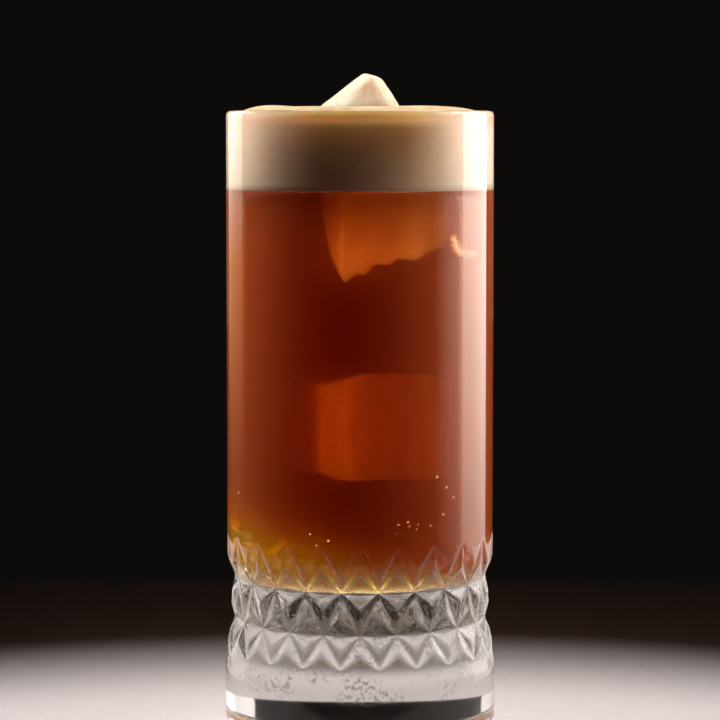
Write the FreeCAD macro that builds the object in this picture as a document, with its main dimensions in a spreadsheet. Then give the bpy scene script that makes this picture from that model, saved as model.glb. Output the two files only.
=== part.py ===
import FreeCAD, Part
import math
import os

import Sketcher

# A tall straight glass with a cut band round its heavy base, filled to the brim with a
# layered coffee and tonic drink. From the floor up it holds a golden liqueur layer, the
# amber drink and a thick coffee foam, and one large chunk of ice stands up through the foam.
# Millimetres, +Z up, origin at the centre of the ring that it stands on. The front is -Y.

SIZES = [
    # the blown and turned glass
    ("glass_height", 149.0),
    ("outer_radius", 32.5),
    ("wall", 2.0),
    ("base_radius", 33.1),
    ("foot_round", 1.5),
    ("push_up_radius", 28.5),
    ("push_up_depth", 2.8),
    ("floor_round", 10.0),
    ("floor_below_ring", 0.6),
    # the band of cuts: two rings, with a zigzag of straight cuts through and past them
    ("band_points", 22),
    ("lower_ring_height", 25.6),
    ("ring_spacing", 10.0),
    ("ring_depth", 1.8),
    ("tip_depth", 0.1),
    ("upper_tip_rise", 10.9),
    ("upper_notch_rise", 4.1),
    ("upper_hob_rise", 4.4),
    ("upper_hob_depth", 0.35),
    ("middle_hob_depth", 0.7),
    ("lower_hob_drop", 3.6),
    ("lower_hob_depth", 0.4),
    ("lower_notch_drop", 4.0),
    ("lower_tip_drop", 7.8),
    ("flare_drop", 4.0),
    # the drink
    ("foam_depth", 19.0),
    ("foam_crown", 1.1),
    ("golden_depth", 6.8),
    ("golden_tilt", 9.5),
    # the ice chunk
    ("ice_width", 25.0),
    ("ice_thickness", 23.0),
    ("ice_length", 49.0),
    ("ice_rise", 9.2),
    ("ice_lean", 10.0),
    ("ice_turn", 12.0),
    ("ice_offset", 1.8),
]

doc = FreeCAD.newDocument("carajillo_tonic")
sheet = doc.addObject("Spreadsheet::Sheet", "sizes")
for row, (alias, number) in enumerate(SIZES, start=1):
    sheet.set(f"A{row}", alias)
    sheet.set(f"B{row}", str(number))
    sheet.setAlias(f"B{row}", alias)
doc.recompute()


def size(alias):
    """The number in a named cell of the sheet."""
    return float(sheet.get(alias))


def vector(radius, angle, height):
    """A point at an angle round the axis, counted from the front towards +X."""
    return FreeCAD.Vector(radius * math.sin(angle), -radius * math.cos(angle), height)


def polyhedron(faces):
    """A solid from its flat faces, each a list of corners."""
    shell = Part.Shell([Part.Face(Part.makePolygon(corners + corners[:1])) for corners in faces])
    solid = Part.Solid(shell)
    if solid.Volume < 0:
        solid.reverse()
    return solid


# Heights and radii that several pieces share

UPPER_RING = "sizes.lower_ring_height + sizes.ring_spacing"
FLOOR = UPPER_RING + " - sizes.floor_below_ring"
INNER_RADIUS = "sizes.outer_radius - sizes.wall"
FOAM_BOTTOM = "sizes.glass_height - sizes.foam_depth"

glass_height = size("glass_height")
outer_radius = size("outer_radius")
inner_radius = outer_radius - size("wall")
base_radius = size("base_radius")
upper_ring = size("lower_ring_height") + size("ring_spacing")
floor_height = upper_ring - size("floor_below_ring")
floor_round = size("floor_round")
foam_bottom = glass_height - size("foam_depth")


# Turned profiles: closed outlines in the XZ plane, turned once round Z

def line(start, end):
    return Part.LineSegment(FreeCAD.Vector(*start, 0), FreeCAD.Vector(*end, 0))


def arc(centre, radius, first_degrees, last_degrees):
    circle = Part.Circle(FreeCAD.Vector(*centre, 0), FreeCAD.Vector(0, 0, 1), radius)
    return Part.ArcOfCircle(circle, math.radians(first_degrees), math.radians(last_degrees))


def turned_body(name, sides, joins, rules, dimensions):
    """A body turned from one sketch.

    sides are the lines and arcs, joins the pairs of ends that meet (a third item makes the
    pair tangent), rules the plain constraints and dimensions those bound to the sheet.
    """
    body = doc.addObject("PartDesign::Body", name)
    sketch = body.newObject("Sketcher::SketchObject", name + "_profile")
    plane = next(item for item in body.Origin.OriginFeatures if item.Role == "XZ_Plane")
    sketch.AttachmentSupport = (plane, [""])
    sketch.MapMode = "FlatFace"
    for side in sides:
        sketch.addGeometry(side, False)
    for kind, *ends in joins + rules:
        sketch.addConstraint(Sketcher.Constraint(kind, *ends))
    for label, kind, ends, number, expression in dimensions:
        index = sketch.addConstraint(Sketcher.Constraint(kind, *ends, number))
        sketch.renameConstraint(index, label)
        sketch.setExpression("Constraints." + label, expression)
    turned = body.newObject("PartDesign::Revolution", name + "_turned")
    turned.Profile = sketch
    turned.ReferenceAxis = (sketch, ["V_Axis"])
    turned.Angle = 360
    body.Tip = turned
    return body


START, END, CENTRE = 1, 2, 3
H_AXIS, V_AXIS = -1, -2
ORIGIN = (-1, 1)


def glass_blank():
    """The plain turned glass: a solid base pushed up underneath, a flared foot, a round lip."""
    lip = size("wall") / 2
    foot = size("foot_round")
    push_up = size("push_up_depth")
    foot_ring = size("push_up_radius")
    flare_top = size("lower_ring_height") - size("lower_tip_drop")
    flare_bottom = flare_top - size("flare_drop")
    sides = [
        line((0, push_up), (foot_ring - push_up, push_up)),
        arc((foot_ring - push_up, 0), push_up, 0, 90),
        line((foot_ring, 0), (base_radius - foot, 0)),
        arc((base_radius - foot, foot), foot, -90, 0),
        line((base_radius, foot), (base_radius, flare_bottom)),
        line((base_radius, flare_bottom), (outer_radius, flare_top)),
        line((outer_radius, flare_top), (outer_radius, glass_height - lip)),
        arc((outer_radius - lip, glass_height - lip), lip, 0, 180),
        line((inner_radius, glass_height - lip), (inner_radius, floor_height + floor_round)),
        arc((inner_radius - floor_round, floor_height + floor_round), floor_round, -90, 0),
        line((inner_radius - floor_round, floor_height), (0, floor_height)),
        line((0, floor_height), (0, push_up)),
    ]
    joins = [
        ("Tangent", 0, END, 1, END),
        ("Coincident", 1, START, 2, START),
        ("Tangent", 2, END, 3, START),
        ("Tangent", 3, END, 4, START),
        ("Coincident", 4, END, 5, START),
        ("Coincident", 5, END, 6, START),
        ("Tangent", 6, END, 7, START),
        ("Tangent", 7, END, 8, START),
        ("Tangent", 8, END, 9, END),
        ("Tangent", 9, START, 10, START),
        ("Coincident", 10, END, 11, START),
        ("Coincident", 11, END, 0, START),
    ]
    rules = [
        ("PointOnObject", 0, START, V_AXIS),
        ("Horizontal", 0),
        ("PointOnObject", 1, CENTRE, H_AXIS),
        ("PointOnObject", 2, START, H_AXIS),
        ("Horizontal", 2),
        ("Vertical", 4),
        ("Vertical", 6),
        ("Vertical", 8),
        ("Horizontal", 10),
        ("Vertical", 11),
    ]
    dimensions = [
        ("push_up_depth", "Radius", (1,), push_up, "sizes.push_up_depth"),
        ("push_up_radius", "DistanceX", (*ORIGIN, 2, START), foot_ring, "sizes.push_up_radius"),
        ("foot_round", "Radius", (3,), foot, "sizes.foot_round"),
        ("base_radius", "DistanceX", (*ORIGIN, 4, END), base_radius, "sizes.base_radius"),
        ("flare_bottom", "DistanceY", (*ORIGIN, 4, END), flare_bottom,
         "sizes.lower_ring_height - sizes.lower_tip_drop - sizes.flare_drop"),
        ("flare_top", "DistanceY", (*ORIGIN, 6, START), flare_top,
         "sizes.lower_ring_height - sizes.lower_tip_drop"),
        ("outer_radius", "DistanceX", (*ORIGIN, 6, END), outer_radius, "sizes.outer_radius"),
        ("lip_round", "Radius", (7,), lip, "sizes.wall / 2"),
        ("lip_height", "DistanceY", (*ORIGIN, 6, END), glass_height - lip,
         "sizes.glass_height - sizes.wall / 2"),
        ("floor_height", "DistanceY", (*ORIGIN, 10, END), floor_height, FLOOR),
        ("floor_round", "Radius", (9,), floor_round, "sizes.floor_round"),
    ]
    return turned_body("glass_blank", sides, joins, rules, dimensions)


def drink_fill():
    """Everything liquid, out to the wall of the glass and up to the underside of the foam."""
    sides = [
        line((0, floor_height), (inner_radius - floor_round, floor_height)),
        arc((inner_radius - floor_round, floor_height + floor_round), floor_round, -90, 0),
        line((inner_radius, floor_height + floor_round), (inner_radius, foam_bottom)),
        line((inner_radius, foam_bottom), (0, foam_bottom)),
        line((0, foam_bottom), (0, floor_height)),
    ]
    joins = [
        ("Tangent", 0, END, 1, START),
        ("Tangent", 1, END, 2, START),
        ("Coincident", 2, END, 3, START),
        ("Coincident", 3, END, 4, START),
        ("Coincident", 4, END, 0, START),
    ]
    rules = [
        ("PointOnObject", 4, END, V_AXIS),
        ("Horizontal", 0),
        ("Vertical", 2),
        ("Horizontal", 3),
        ("Vertical", 4),
    ]
    dimensions = [
        ("floor_height", "DistanceY", (*ORIGIN, 0, START), floor_height, FLOOR),
        ("floor_round", "Radius", (1,), floor_round, "sizes.floor_round"),
        ("inner_radius", "DistanceX", (*ORIGIN, 2, END), inner_radius, INNER_RADIUS),
        ("foam_bottom", "DistanceY", (*ORIGIN, 2, END), foam_bottom, FOAM_BOTTOM),
    ]
    return turned_body("drink_fill", sides, joins, rules, dimensions)


# The cut band

def leaf_reach(node, tip, notch, half_step, reach):
    """How a leaf cut runs on past the surface of the glass.

    node, tip and notch are (radius, height) pairs: the node and the notch stand at one angle,
    the tip half a step round from them. The two answers are the points where the plane
    through all three reaches the radius reach, at the notch's angle and at the tip's.
    """
    slope = (notch[1] - node[1]) / (notch[0] - node[0])
    tip_along = tip[0] * math.cos(half_step)
    tip_across = tip[0] * math.sin(half_step)
    side_slope = (tip[1] - node[1] - slope * (tip_along - node[0])) / tip_across
    notch_height = notch[1] + slope * (reach - notch[0])
    tip_slope = slope * math.cos(half_step) + side_slope * math.sin(half_step)
    tip_height = tip[1] + tip_slope * (reach - tip[0])
    return (reach, notch_height), (reach, tip_height)


def band_waste():
    """What the cutting wheel takes away: a ring whose inner side is the facets of the band.

    Nodes on the two rings stand half a step apart. Straight V cuts join them in a zigzag and
    run on to tips above and below, which leaves rows of three-sided hobs between the cuts.
    """
    points = int(size("band_points"))
    half_step = math.pi / points
    lower_ring = size("lower_ring_height")
    spacing = size("ring_spacing")
    ring_radius = outer_radius - size("ring_depth")
    tip_radius = outer_radius - size("tip_depth")
    hob_radius = outer_radius - size("middle_hob_depth")
    waste_radius = outer_radius + size("ring_depth")

    upper_node = (ring_radius, upper_ring)
    lower_node = (ring_radius, lower_ring)
    upper_tip = (tip_radius, upper_ring + size("upper_tip_rise"))
    lower_tip = (tip_radius, lower_ring - size("lower_tip_drop"))
    upper_hob = (outer_radius - size("upper_hob_depth"), upper_ring + size("upper_hob_rise"))
    lower_hob = (outer_radius - size("lower_hob_depth"), lower_ring - size("lower_hob_drop"))
    hanging_hob = (hob_radius, upper_ring - spacing / 3)
    standing_hob = (hob_radius, lower_ring + spacing / 3)
    upper_notch = (outer_radius, upper_ring + size("upper_notch_rise"))
    lower_notch = (outer_radius, lower_ring - size("lower_notch_drop"))
    above_notch, above_tip = leaf_reach(upper_node, upper_tip, upper_notch, half_step, waste_radius)
    below_notch, below_tip = leaf_reach(lower_node, lower_tip, lower_notch, half_step, waste_radius)

    def at(place, step):
        return vector(place[0], step * half_step, place[1])

    def hob(first, second, third, top):
        return [[first, second, top], [second, third, top], [third, first, top]]

    faces = []
    for step in range(0, 2 * points, 2):
        here, right, far = step, step + 1, step + 2
        faces += hob(at(upper_node, here - 1), at(upper_node, right), at(upper_tip, here),
                     at(upper_hob, here))
        faces += hob(at(upper_node, right), at(upper_node, here - 1), at(lower_node, here),
                     at(hanging_hob, here))
        faces += hob(at(lower_node, here), at(lower_node, far), at(upper_node, right),
                     at(standing_hob, right))
        faces += hob(at(lower_node, far), at(lower_node, here), at(lower_tip, right),
                     at(lower_hob, right))
        for side in (here, far):
            faces.append([at(upper_node, right), at(upper_tip, side), at(above_tip, side),
                          at(above_notch, right)])
        for side in (here - 1, right):
            faces.append([at(lower_node, here), at(lower_tip, side), at(below_tip, side),
                          at(below_notch, here)])
        faces.append([at(above_tip, here), at(above_notch, right), at(below_tip, right),
                      at(below_notch, here)])
        faces.append([at(above_tip, far), at(above_notch, right), at(below_tip, right),
                      at(below_notch, far)])
    waste = doc.addObject("Part::Feature", "band_waste")
    waste.Shape = polyhedron(faces)
    return waste


# The foam

FOAM_AROUND = 72
FOAM_RINGS = (0.0, 0.22, 0.42, 0.6, 0.75, 0.87, 0.95, 1.0)
# each swelling in the foam's top: x and y of its middle, its height and how wide it spreads
FOAM_SWELLINGS = (
    (-24.0, 1.0, 0.55, 7.0),
    (-11.0, -4.0, -0.35, 7.0),
    (15.0, 4.0, 0.25, 8.0),
    (3.0, -19.0, -0.3, 9.0),
    (-3.0, 20.0, 0.35, 9.0),
)


def foam_top(x, y):
    """Height of the foam's top: crowned above the rim, and rolled down to the lip at its edge."""
    edge = (math.hypot(x, y) / inner_radius) ** 8
    crowned = glass_height + size("foam_crown") * (1 - edge) - size("wall") / 2 * edge
    for middle_x, middle_y, height, spread in FOAM_SWELLINGS:
        away = ((x - middle_x) ** 2 + (y - middle_y) ** 2) / spread ** 2
        crowned += height * math.exp(-away) * (1 - edge)
    return crowned


def foam_block():
    """The foam before the ice is let into it, with its uneven top as a fan of small facets."""
    def top_point(share, step):
        flat = vector(inner_radius * share, 2 * math.pi * step / FOAM_AROUND, 0)
        return FreeCAD.Vector(flat.x, flat.y, foam_top(flat.x, flat.y))

    def bottom_point(step):
        return vector(inner_radius, 2 * math.pi * step / FOAM_AROUND, foam_bottom)

    faces = [[bottom_point(step) for step in range(FOAM_AROUND)]]
    centre = top_point(0.0, 0)
    for step in range(FOAM_AROUND):
        after = step + 1
        faces.append([centre, top_point(FOAM_RINGS[1], step), top_point(FOAM_RINGS[1], after)])
        for inside, outside in zip(FOAM_RINGS[1:], FOAM_RINGS[2:]):
            faces.append([top_point(inside, step), top_point(outside, step),
                          top_point(outside, after)])
            faces.append([top_point(inside, step), top_point(outside, after),
                          top_point(inside, after)])
        faces.append([bottom_point(step), bottom_point(after), top_point(1.0, after)])
        faces.append([bottom_point(step), top_point(1.0, after), top_point(1.0, step)])
    block = doc.addObject("Part::Feature", "foam_block")
    block.Shape = polyhedron(faces)
    return block


# The ice

# each flat break in the chunk's faces: which way it faces (degrees round from +X), how far it
# looks up, and the point on it: x, y from the peak and height above (or below) the peak
ICE_TOP_BREAKS = (
    (186.0, 52.0, (0.0, 0.0, 0.0)),
    (228.0, 42.0, (0.6, -1.6, -0.6)),
    (272.0, 24.0, (1.5, -3.0, -1.2)),
    (322.0, 32.0, (3.8, -2.2, -1.6)),
    (0.0, 74.0, (0.0, 0.0, 0.0)),
    (8.0, 31.0, (4.4, 0.0, -1.3)),
    (62.0, 40.0, (3.2, 3.0, -1.6)),
    (128.0, 44.0, (0.2, 2.6, -0.8)),
)
ICE_BOTTOM_BREAKS = (
    (35.0, -38.0, (18.0, 6.0, -38.0)),
    (200.0, -34.0, (-2.0, 0.0, -41.0)),
    (285.0, -48.0, (8.0, -6.0, -43.0)),
)


def ice_chunk():
    """One chunk of cracked ice: a leaning block with its edges broken off flat."""
    peak = FreeCAD.Vector(size("ice_offset") / 2, 0, glass_height + size("ice_rise"))
    block = doc.addObject("Part::Box", "ice_block")
    block.setExpression("Length", "sizes.ice_width")
    block.setExpression("Width", "sizes.ice_thickness")
    block.setExpression("Height", "sizes.ice_length")
    doc.recompute()
    lean = FreeCAD.Rotation(FreeCAD.Vector(0, 1, 0), -size("ice_lean"))
    turn = FreeCAD.Rotation(FreeCAD.Vector(0, 0, 1), size("ice_turn"))
    turned = lean.multiply(turn)
    top_middle = FreeCAD.Vector(size("ice_width") / 2, size("ice_thickness") / 2, size("ice_length"))
    held = FreeCAD.Vector(peak.x - size("ice_offset"), peak.y, peak.z)
    block.Placement = FreeCAD.Placement(held - turned.multVec(top_middle), turned)

    breaks = []
    reach = 2 * size("ice_length")
    for facing, looking_up, (across, deep, above) in ICE_TOP_BREAKS + ICE_BOTTOM_BREAKS:
        flat = math.cos(math.radians(looking_up))
        normal = FreeCAD.Vector(flat * math.cos(math.radians(facing)),
                                flat * math.sin(math.radians(facing)),
                                math.sin(math.radians(looking_up)))
        spin = FreeCAD.Rotation(FreeCAD.Vector(0, 0, 1), normal)
        chip = doc.addObject("Part::Box", f"ice_break_{len(breaks) + 1}")
        chip.Length = chip.Width = chip.Height = reach
        corner = spin.multVec(FreeCAD.Vector(reach / 2, reach / 2, 0))
        point = peak + FreeCAD.Vector(across, deep, above)
        chip.Placement = FreeCAD.Placement(point - corner, spin)
        breaks.append(chip)
    chips = doc.addObject("Part::MultiFuse", "ice_breaks")
    chips.Shapes = breaks
    return boolean("Part::Cut", "ice_chunk", block, chips)


# Assembly of the pieces

def boolean(kind, label, base, tool):
    """One of Part's booleans of two objects."""
    result = doc.addObject(kind, label)
    result.Label = label
    result.Base = base
    result.Tool = tool
    return result


def golden_split():
    """A big tilted box whose top is the plane between the golden layer and the amber drink."""
    box = doc.addObject("Part::Box", "golden_split")
    for side in ("Length", "Width", "Height"):
        box.setExpression(side, "4 * sizes.outer_radius")
    doc.recompute()
    tilt = FreeCAD.Rotation(FreeCAD.Vector(0, 1, 0), size("golden_tilt"))
    top_middle = FreeCAD.Vector(box.Length.Value / 2, box.Width.Value / 2, box.Height.Value)
    middle = FreeCAD.Vector(0, 0, floor_height + size("golden_depth"))
    box.Placement = FreeCAD.Placement(middle - tilt.multVec(top_middle), tilt)
    return box


ice = ice_chunk()
fill = drink_fill()
split = golden_split()
pieces = [
    boolean("Part::Cut", "glass", glass_blank(), band_waste()),
    boolean("Part::Common", "golden_layer", fill, split),
    boolean("Part::Cut", "coffee_tonic", boolean("Part::Cut", "amber_fill", fill, split), ice),
    boolean("Part::Cut", "foam", foam_block(), ice),
    ice,
]
doc.recompute()

for item in doc.Objects:
    if "Invalid" in item.State or "Error" in item.State:
        raise RuntimeError(f"{item.Label} did not compute: {item.State}")
for piece in pieces:
    shape = piece.Shape
    if shape.isNull() or not shape.isValid() or len(shape.Solids) != 1:
        raise RuntimeError(f"{piece.Label} is not one sound solid")

os.makedirs("parts", exist_ok=True)
for piece in pieces:
    piece.Shape.exportStep(f"parts/{piece.Label}.step")
    print(f"{piece.Label}: {piece.Shape.Volume / 1000:.2f} cm3, {len(piece.Shape.Faces)} faces")
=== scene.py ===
import math
import random

import bmesh
import bpy
import numpy as np
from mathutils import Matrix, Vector


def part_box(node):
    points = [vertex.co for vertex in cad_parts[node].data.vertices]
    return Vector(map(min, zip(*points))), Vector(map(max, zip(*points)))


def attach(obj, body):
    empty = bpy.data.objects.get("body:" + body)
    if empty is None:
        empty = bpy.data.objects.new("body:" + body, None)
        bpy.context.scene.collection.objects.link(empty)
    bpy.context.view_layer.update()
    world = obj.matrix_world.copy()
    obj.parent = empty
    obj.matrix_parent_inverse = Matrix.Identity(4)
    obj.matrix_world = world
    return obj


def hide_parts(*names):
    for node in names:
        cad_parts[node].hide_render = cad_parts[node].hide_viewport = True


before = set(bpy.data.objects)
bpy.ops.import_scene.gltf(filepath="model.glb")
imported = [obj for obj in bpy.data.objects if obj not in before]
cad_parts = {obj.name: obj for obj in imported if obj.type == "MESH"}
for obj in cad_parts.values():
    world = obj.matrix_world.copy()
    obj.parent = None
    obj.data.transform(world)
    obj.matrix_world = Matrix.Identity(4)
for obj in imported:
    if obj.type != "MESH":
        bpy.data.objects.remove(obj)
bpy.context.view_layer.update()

# ---------------------------------------------------------------------------------------------
# The glass
# A tall pressed long-drink glass of clear soda-lime glass, fire polished all over. Its heavy
# solid base carries two turned grooves, with a zigzag of V cuts through and past them. Nothing
# is fixed to it: it stands on its foot and holds the drink up to the lip.
# ---------------------------------------------------------------------------------------------

MM = 0.001
glass_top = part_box("glass")[1]
BASE_RADIUS = glass_top.x
GLASS_HEIGHT = glass_top.z
INNER_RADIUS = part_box("foam")[1].x
FLOOR_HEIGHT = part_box("golden_layer")[0].z
WALL = 2.0 * MM
OUTER_RADIUS = INNER_RADIUS + WALL
FLOOR_ROUND = 10.0 * MM
FOOT_ROUND = 1.5 * MM
FOOT_RING = 28.5 * MM
PUSH_UP = 2.8 * MM

BAND_POINTS = 22
UPPER_RING = FLOOR_HEIGHT + 0.6 * MM
LOWER_RING = UPPER_RING - 10.0 * MM
RING_RADIUS = OUTER_RADIUS - 1.8 * MM
TIP_RADIUS = OUTER_RADIUS - 0.1 * MM
BAND_TOP = UPPER_RING + 12.6 * MM
BAND_FOOT = LOWER_RING - 8.6 * MM
PLINTH_TOP = LOWER_RING - 11.8 * MM
HALF_STEP = math.pi / BAND_POINTS
STRIP_COLUMNS = 10
COLUMNS = 2 * BAND_POINTS * STRIP_COLUMNS
FACET_ROWS = 4
SAME_PLACE = 1e-7


def in_scene(name, data):
    """A new object in the scene, made of a mesh, a lamp or a camera."""
    thing = bpy.data.objects.new(name, data)
    bpy.context.scene.collection.objects.link(thing)
    return thing


def shade_smooth(mesh):
    """Shades every face of a mesh smooth."""
    for face in mesh.polygons:
        face.use_smooth = True


def mesh_piece(name, points, faces, worn=None):
    """A new mesh piece with coincident points joined. worn is how dull each point is, 0 to 1."""
    mesh = bpy.data.meshes.new(name)
    mesh.from_pydata([tuple(point) for point in points], [], faces)
    if worn is not None:
        values = np.zeros(len(points), dtype=np.float32)
        values[:len(worn)] = worn
        mesh.attributes.new("worn", "FLOAT", "POINT").data.foreach_set("value", values)
    work = bmesh.new()
    work.from_mesh(mesh)
    bmesh.ops.remove_doubles(work, verts=work.verts, dist=SAME_PLACE)
    bmesh.ops.dissolve_degenerate(work, edges=work.edges, dist=SAME_PLACE)
    bmesh.ops.recalc_face_normals(work, faces=work.faces)
    work.to_mesh(mesh)
    work.free()
    shade_smooth(mesh)
    return in_scene(name, mesh)


def ring(radius, height, columns):
    """One level ring of points round the axis, counted from the front towards +X."""
    angles = np.arange(columns) * 2 * math.pi / columns
    flat = np.full(columns, height)
    return np.stack([radius * np.sin(angles), -radius * np.cos(angles), flat], axis=1)


def turned(profile, columns):
    """Rings for a profile of (radius, height) pairs."""
    return [ring(radius, height, columns) for radius, height in profile]


def bend(centre, radius, first_degrees, last_degrees, steps):
    """Points of an arc of a profile."""
    angles = np.radians(np.linspace(first_degrees, last_degrees, steps + 1))
    return [(centre[0] + radius * math.cos(a), centre[1] + radius * math.sin(a)) for a in angles]


def run(start, end, steps):
    """Points of a straight stretch of a profile, without its two ends."""
    shares = np.linspace(0, 1, steps + 1)[1:-1]
    return [(start[0] + (end[0] - start[0]) * s, start[1] + (end[1] - start[1]) * s)
            for s in shares]


def skin(rings):
    """Points and faces of a closed skin through rings, drawn to the axis at its two ends."""
    columns = len(rings[0])
    points = list(np.concatenate(rings))
    faces = []
    for row in range(len(rings) - 1):
        low, high = row * columns, (row + 1) * columns
        for column in range(columns):
            after = (column + 1) % columns
            faces.append((low + column, low + after, high + after, high + column))
    for row in (0, len(rings) - 1):
        tip = len(points)
        points.append((0, 0, rings[row][:, 2].mean()))
        start = row * columns
        faces += [(start + c, start + (c + 1) % columns, tip) for c in range(columns)]
    return points, faces


def strip_ring(even, odd):
    """A ring that runs straight from its place over each even node to that over each odd one."""
    points = []
    for column in range(COLUMNS):
        strip, inside = divmod(column, STRIP_COLUMNS)
        share = inside / STRIP_COLUMNS
        first, last = (even, odd) if strip % 2 == 0 else (odd, even)
        start, end = strip * HALF_STEP, (strip + 1) * HALF_STEP
        a = np.array([first[0] * math.sin(start), -first[0] * math.cos(start), first[1]])
        b = np.array([last[0] * math.sin(end), -last[0] * math.cos(end), last[1]])
        points.append(a + (b - a) * share)
    return np.array(points)


def leaf_edge(node, tip, notch, tip_is_even):
    """Where a leaf cut's outer wall leaves the round of the glass: a curve, tip to notch."""
    slope = (notch[1] - node[1]) / (notch[0] - node[0])
    along, across = tip[0] * math.cos(HALF_STEP), tip[0] * math.sin(HALF_STEP)
    side = (tip[1] - node[1] - slope * (along - node[0])) / across
    points = []
    for column in range(COLUMNS):
        strip, inside = divmod(column, STRIP_COLUMNS)
        share = inside / STRIP_COLUMNS
        from_even = share if strip % 2 == 0 else 1 - share
        away = (1 - from_even if tip_is_even else from_even) * HALF_STEP
        height = (node[1] + slope * (OUTER_RADIUS * math.cos(away) - node[0])
                  + side * OUTER_RADIUS * math.sin(away))
        angle = column * HALF_STEP / STRIP_COLUMNS
        points.append((OUTER_RADIUS * math.sin(angle), -OUTER_RADIUS * math.cos(angle), height))
    return np.array(points)


def between(low, high, steps):
    """Rings evenly between two rings, without the two."""
    return [low + (high - low) * step / steps for step in range(1, steps)]


def band_rings():
    """The cut band from below to above: every crease of the cutting is one ring."""
    upper_node = (RING_RADIUS, UPPER_RING)
    lower_node = (RING_RADIUS, LOWER_RING)
    middle = (RING_RADIUS * math.cos(HALF_STEP), UPPER_RING)
    lower_middle = (RING_RADIUS * math.cos(HALF_STEP), LOWER_RING)
    third = (UPPER_RING - LOWER_RING) / 3
    hob_radius = OUTER_RADIUS - 0.7 * MM
    upper_tip = (TIP_RADIUS, UPPER_RING + 10.9 * MM)
    lower_tip = (TIP_RADIUS, LOWER_RING - 7.8 * MM)
    upper_hob = (OUTER_RADIUS - 0.35 * MM, UPPER_RING + 4.4 * MM)
    lower_hob = (OUTER_RADIUS - 0.4 * MM, LOWER_RING - 3.6 * MM)
    upper_notch = (OUTER_RADIUS, UPPER_RING + 4.1 * MM)
    lower_notch = (OUTER_RADIUS, LOWER_RING - 4.0 * MM)
    creases = [
        leaf_edge(lower_node, lower_tip, lower_notch, tip_is_even=False),
        strip_ring(lower_node, lower_tip),
        strip_ring(lower_node, lower_hob),
        strip_ring(lower_node, lower_middle),
        strip_ring(lower_node, (hob_radius, LOWER_RING + third)),
        strip_ring(lower_node, upper_node),
        strip_ring((hob_radius, UPPER_RING - third), upper_node),
        strip_ring(middle, upper_node),
        strip_ring(upper_hob, upper_node),
        strip_ring(upper_tip, upper_node),
        leaf_edge(upper_node, upper_tip, upper_notch, tip_is_even=True),
    ]
    worn_creases = (0.3, 0.2, 0.6, 0.9, 0.2, 0.7, 0.2, 0.9, 1.0, 0.25, 0.3)
    rings = [creases[0]]
    worn = [worn_creases[0]]
    for index, (low, high) in enumerate(zip(creases, creases[1:])):
        rings += between(low, high, FACET_ROWS)
        rings.append(high)
        worn += [0.0] * (FACET_ROWS - 1) + [worn_creases[index + 1]]
    return rings, worn


def on_wall(rings):
    """The same rings pushed out to the round of the glass."""
    placed = []
    for points in rings:
        flat = np.hypot(points[:, 0], points[:, 1])
        grown = points.copy()
        grown[:, 0] *= OUTER_RADIUS / flat
        grown[:, 1] *= OUTER_RADIUS / flat
        placed.append(grown)
    return placed


def foot_profile():
    """From the axis outwards and up: push-up, ring that it stands on, round, plinth and taper."""
    push_up_edge = FOOT_RING - PUSH_UP
    plinth_top = (BASE_RADIUS, PLINTH_TOP)
    profile = run((0, PUSH_UP), (push_up_edge, PUSH_UP), 8)
    profile += bend((push_up_edge, 0), PUSH_UP, 90, 0, 10)
    profile += run((FOOT_RING, 0), (BASE_RADIUS - FOOT_ROUND, 0), 3)
    profile += bend((BASE_RADIUS - FOOT_ROUND, FOOT_ROUND), FOOT_ROUND, -90, 0, 6)
    profile += run((BASE_RADIUS, FOOT_ROUND), plinth_top, 5) + [plinth_top]
    return profile + run(plinth_top, (OUTER_RADIUS, BAND_FOOT), 3)


def wall_profile():
    """Plain outer wall above the cuts, round lip, inner wall and floor, back to the axis."""
    lip = WALL / 2
    lip_bottom = GLASS_HEIGHT - lip
    floor_edge = INNER_RADIUS - FLOOR_ROUND
    profile = run((OUTER_RADIUS, BAND_TOP), (OUTER_RADIUS, lip_bottom), 12)
    profile += bend((OUTER_RADIUS - lip, lip_bottom), lip, 0, 180, 12)
    profile += run((INNER_RADIUS, lip_bottom), (INNER_RADIUS, FLOOR_HEIGHT + FLOOR_ROUND), 12)
    profile += bend((floor_edge, FLOOR_HEIGHT + FLOOR_ROUND), FLOOR_ROUND, 0, -90, 12)
    return profile + run((floor_edge, FLOOR_HEIGHT), (0.08 * INNER_RADIUS, FLOOR_HEIGHT), 6)


def soften(piece, low, high, rounds):
    """Rounds the creases between two heights a little, as the polishing flame does."""
    work = bmesh.new()
    work.from_mesh(piece.data)
    wall = [v for v in work.verts
            if low < v.co.z < high and v.co.xy.length > INNER_RADIUS - 1.2 * MM]
    for _ in range(rounds):
        bmesh.ops.smooth_vert(work, verts=wall, factor=0.5, use_axis_x=True, use_axis_y=True,
                              use_axis_z=True)
    work.to_mesh(piece.data)
    work.free()


def build_glass():
    """The glass as one closed skin from foot to inner floor, the creases of its cuts worn."""
    band, worn_rows = band_rings()
    below = ring(OUTER_RADIUS, BAND_FOOT, COLUMNS)
    above = ring(OUTER_RADIUS, BAND_TOP, COLUMNS)
    rings = turned(foot_profile(), COLUMNS)
    rings += [below] + on_wall(between(below, band[0], 3))
    worn = [0.0] * len(rings) + worn_rows
    rings += band
    rings += on_wall(between(band[-1], above, 3)) + [above]
    rings += turned(wall_profile(), COLUMNS)
    body = mesh_piece("glass_body", *skin(rings), worn=np.repeat(worn, COLUMNS))
    soften(body, low=LOWER_RING - 9 * MM, high=UPPER_RING + 12 * MM, rounds=2)
    return body


def linear(code):
    """An sRGB hex colour as linear red, green, blue and alpha."""
    parts = [int(code[i:i + 2], 16) / 255 for i in (1, 3, 5)]
    return (*[c / 12.92 if c <= 0.04045 else ((c + 0.055) / 1.055) ** 2.4 for c in parts], 1.0)


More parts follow.
